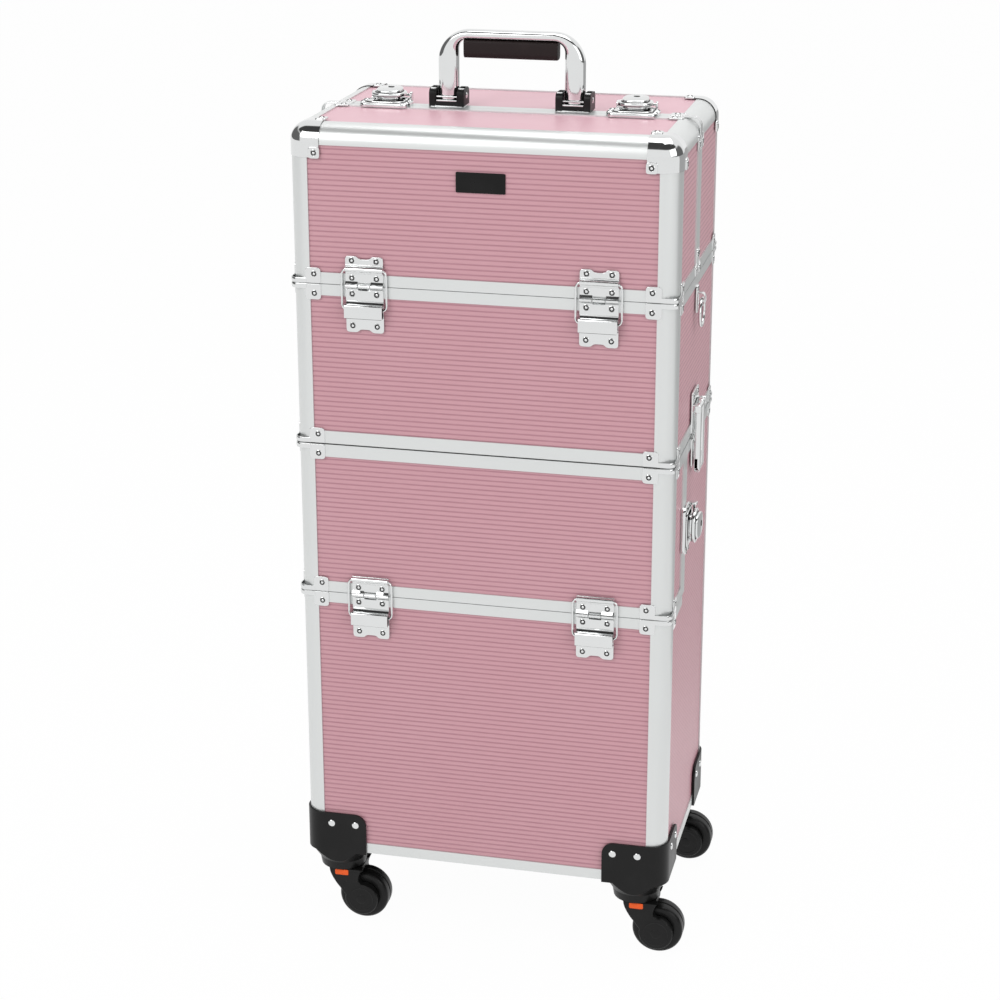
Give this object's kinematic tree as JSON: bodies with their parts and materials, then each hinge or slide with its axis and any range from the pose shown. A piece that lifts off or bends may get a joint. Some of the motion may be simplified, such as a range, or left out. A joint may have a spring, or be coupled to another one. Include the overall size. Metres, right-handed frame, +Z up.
{
  "type": "makeup train case",
  "caption": "Tall aluminium-framed rolling makeup case with ribbed pink panels, a split lid with key latches, a lift-off upper case, a drop door, a bow handle and swivel casters.",
  "frame": {"origin": "on the floor under the middle of the case", "axes": "+Z up, front with the name plate faces -Y, +X to the right seen from the front"},
  "size_m": [0.37, 0.2404, 0.8299],
  "materials": {
    "pink_panel": "satin, fine horizontal ribs",
    "satin_aluminium": "satin anodised",
    "chrome": "polished",
    "black_plastic": "satin moulded",
    "black_plate": "gloss",
    "grip": "matt",
    "tyre": "satin",
    "orange_button": "gloss"
  },
  "bodies": {
    "lower_case": {"lower_panels": "pink_panel", "lower_frame": "satin_aluminium", "lower_clips": "chrome", "caster_mounts": "black_plastic", "mount_rivets": "chrome", "door_hinge_plates": "chrome", "door_latch_bases": "chrome", "side_latch_keepers": "chrome"},
    "door": {"door_panels": "pink_panel", "door_frame": "satin_aluminium", "door_clips": "chrome", "door_hinge_leaves": "chrome", "door_latch_keepers": "chrome"},
    "door_stays": {"door_stays": "chrome"},
    "door_latch_left": {"door_latch_left": "chrome"},
    "door_latch_right": {"door_latch_right": "chrome"},
    "upper_case": {"upper_panels": "pink_panel", "upper_frame": "satin_aluminium", "upper_clips": "chrome", "upper_hinge_plates": "chrome", "side_latch_bases": "chrome", "ring_tabs": "chrome"},
    "side_latch_left": {"side_latch_left": "chrome"},
    "side_latch_right": {"side_latch_right": "chrome"},
    "ring_left": {"ring_left": "chrome"},
    "ring_right": {"ring_right": "chrome"},
    "front_lid": {"front_lid_panels": "pink_panel", "front_lid_frame": "satin_aluminium", "front_lid_caps": "chrome", "front_lid_clips": "chrome", "front_hinge_leaves": "chrome", "name_plate": "black_plate", "front_latch_keepers": "chrome"},
    "front_stays": {"front_stays": "chrome"},
    "rear_lid": {"rear_lid_panels": "pink_panel", "rear_lid_frame": "satin_aluminium", "rear_lid_caps": "chrome", "rear_lid_clips": "chrome", "rear_hinge_leaves": "chrome", "top_latch_bases": "chrome", "handle_brackets": "chrome"},
    "rear_stays": {"rear_stays": "chrome"},
    "top_latch_left": {"top_latch_left": "chrome"},
    "top_latch_right": {"top_latch_right": "chrome"},
    "handle": {"handle_bow": "chrome", "handle_grip": "grip"},
    "front_left_caster": {"front_left_fork": "black_plastic"},
    "front_left_wheel": {"front_left_wheel": "tyre"},
    "front_left_button": {"front_left_button": "orange_button"},
    "front_right_caster": {"front_right_fork": "black_plastic"},
    "front_right_wheel": {"front_right_wheel": "tyre"},
    "front_right_button": {"front_right_button": "orange_button"},
    "rear_left_caster": {"rear_left_fork": "black_plastic"},
    "rear_left_wheel": {"rear_left_wheel": "tyre"},
    "rear_left_button": {"rear_left_button": "orange_button"},
    "rear_right_caster": {"rear_right_fork": "black_plastic"},
    "rear_right_wheel": {"rear_right_wheel": "tyre"},
    "rear_right_button": {"rear_right_button": "orange_button"}
  },
  "joints": [
    {"name": "upper_lift", "type": "slide", "parent": "lower_case", "child": "upper_case", "axis": [0, 0, 1], "range_m": [0, 0.2]},
    {"name": "front_lid_swing", "type": "hinge", "parent": "upper_case", "child": "front_lid", "pos_m": [0, -0.1147, 0.6235], "axis": [1, 0, 0], "range_deg": [0, 85]},
    {"name": "rear_lid_swing", "type": "hinge", "parent": "upper_case", "child": "rear_lid", "pos_m": [0, 0.1147, 0.6235], "axis": [-1, 0, 0], "range_deg": [0, 85]},
    {"name": "front_stay_swing", "type": "hinge", "parent": "front_lid", "child": "front_stays", "pos_m": [0, -0.115, 0.6385], "axis": [1, 0, 0], "range_deg": [-66, 0]},
    {"name": "rear_stay_swing", "type": "hinge", "parent": "rear_lid", "child": "rear_stays", "pos_m": [0, 0.115, 0.6385], "axis": [-1, 0, 0], "range_deg": [-66, 0]},
    {"name": "door_swing", "type": "hinge", "parent": "lower_case", "child": "door", "pos_m": [0, -0.1147, 0.3365], "axis": [1, 0, 0], "range_deg": [0, 85.5]},
    {"name": "door_stay_swing", "type": "hinge", "parent": "door", "child": "door_stays", "pos_m": [0, -0.115, 0.3515], "axis": [1, 0, 0], "range_deg": [-66, 0]},
    {"name": "handle_fold", "type": "hinge", "parent": "rear_lid", "child": "handle", "pos_m": [0, 0.0056, 0.7729], "axis": [-1, 0, 0], "range_deg": [0, 90]},
    {"name": "top_latch_left_flip", "type": "hinge", "parent": "rear_lid", "child": "top_latch_left", "pos_m": [-0.111, 0.013, 0.7735], "axis": [-1, 0, 0], "range_deg": [0, 80]},
    {"name": "top_latch_right_flip", "type": "hinge", "parent": "rear_lid", "child": "top_latch_right", "pos_m": [0.111, 0.013, 0.7735], "axis": [-1, 0, 0], "range_deg": [0, 80]},
    {"name": "door_latch_left_flip", "type": "hinge", "parent": "lower_case", "child": "door_latch_left", "pos_m": [-0.181, -0.027, 0.4005], "axis": [0, 0, -1], "range_deg": [0, 80]},
    {"name": "door_latch_right_flip", "type": "hinge", "parent": "lower_case", "child": "door_latch_right", "pos_m": [0.181, -0.027, 0.4005], "axis": [0, 0, 1], "range_deg": [0, 80]},
    {"name": "side_latch_left_swing", "type": "hinge", "parent": "upper_case", "child": "side_latch_left", "pos_m": [-0.176, -0.004, 0.5035], "axis": [0, 1, 0], "range_deg": [0, 100]},
    {"name": "side_latch_right_swing", "type": "hinge", "parent": "upper_case", "child": "side_latch_right", "pos_m": [0.176, -0.004, 0.5035], "axis": [0, -1, 0], "range_deg": [0, 100]},
    {"name": "ring_left_swing", "type": "hinge", "parent": "upper_case", "child": "ring_left", "pos_m": [-0.1748, -0.004, 0.60125], "axis": [0, 1, 0], "range_deg": [0, 85]},
    {"name": "ring_right_swing", "type": "hinge", "parent": "upper_case", "child": "ring_right", "pos_m": [0.1748, -0.004, 0.60125], "axis": [0, -1, 0], "range_deg": [0, 85]},
    {"name": "front_left_swivel", "type": "hinge", "parent": "lower_case", "child": "front_left_caster", "pos_m": [-0.141, -0.091, 0.055], "axis": [0, 0, 1], "continuous": true},
    {"name": "front_left_roll", "type": "hinge", "parent": "front_left_caster", "child": "front_left_wheel", "pos_m": [-0.1195, -0.091, 0.0235], "axis": [0, 1, 0], "continuous": true},
    {"name": "front_left_press", "type": "slide", "parent": "front_left_caster", "child": "front_left_button", "axis": [0, 1, 0], "range_m": [0, 0.002], "stiffness_N_per_m": 400},
    {"name": "front_right_swivel", "type": "hinge", "parent": "lower_case", "child": "front_right_caster", "pos_m": [0.141, -0.091, 0.055], "axis": [0, 0, 1], "continuous": true},
    {"name": "front_right_roll", "type": "hinge", "parent": "front_right_caster", "child": "front_right_wheel", "pos_m": [0.1625, -0.091, 0.0235], "axis": [0, 1, 0], "continuous": true},
    {"name": "front_right_press", "type": "slide", "parent": "front_right_caster", "child": "front_right_button", "axis": [0, 1, 0], "range_m": [0, 0.002], "stiffness_N_per_m": 400},
    {"name": "rear_left_swivel", "type": "hinge", "parent": "lower_case", "child": "rear_left_caster", "pos_m": [-0.141, 0.091, 0.055], "axis": [0, 0, 1], "continuous": true},
    {"name": "rear_left_roll", "type": "hinge", "parent": "rear_left_caster", "child": "rear_left_wheel", "pos_m": [-0.1195, 0.091, 0.0235], "axis": [0, 1, 0], "continuous": true},
    {"name": "rear_left_press", "type": "slide", "parent": "rear_left_caster", "child": "rear_left_button", "axis": [0, 1, 0], "range_m": [0, 0.002], "stiffness_N_per_m": 400},
    {"name": "rear_right_swivel", "type": "hinge", "parent": "lower_case", "child": "rear_right_caster", "pos_m": [0.141, 0.091, 0.055], "axis": [0, 0, 1], "continuous": true},
    {"name": "rear_right_roll", "type": "hinge", "parent": "rear_right_caster", "child": "rear_right_wheel", "pos_m": [0.1625, 0.091, 0.0235], "axis": [0, 1, 0], "continuous": true},
    {"name": "rear_right_press", "type": "slide", "parent": "rear_right_caster", "child": "rear_right_button", "axis": [0, 1, 0], "range_m": [0, 0.002], "stiffness_N_per_m": 400}
  ],
  "couplings": [
    {"joint": "front_stay_swing", "follows": "front_lid_swing", "ratio": -0.7266},
    {"joint": "rear_stay_swing", "follows": "rear_lid_swing", "ratio": -0.7266},
    {"joint": "door_swing", "follows": "upper_lift", "rad_per_m": 7.4176},
    {"joint": "door_stay_swing", "follows": "upper_lift", "rad_per_m": -5.3897}
  ]
}
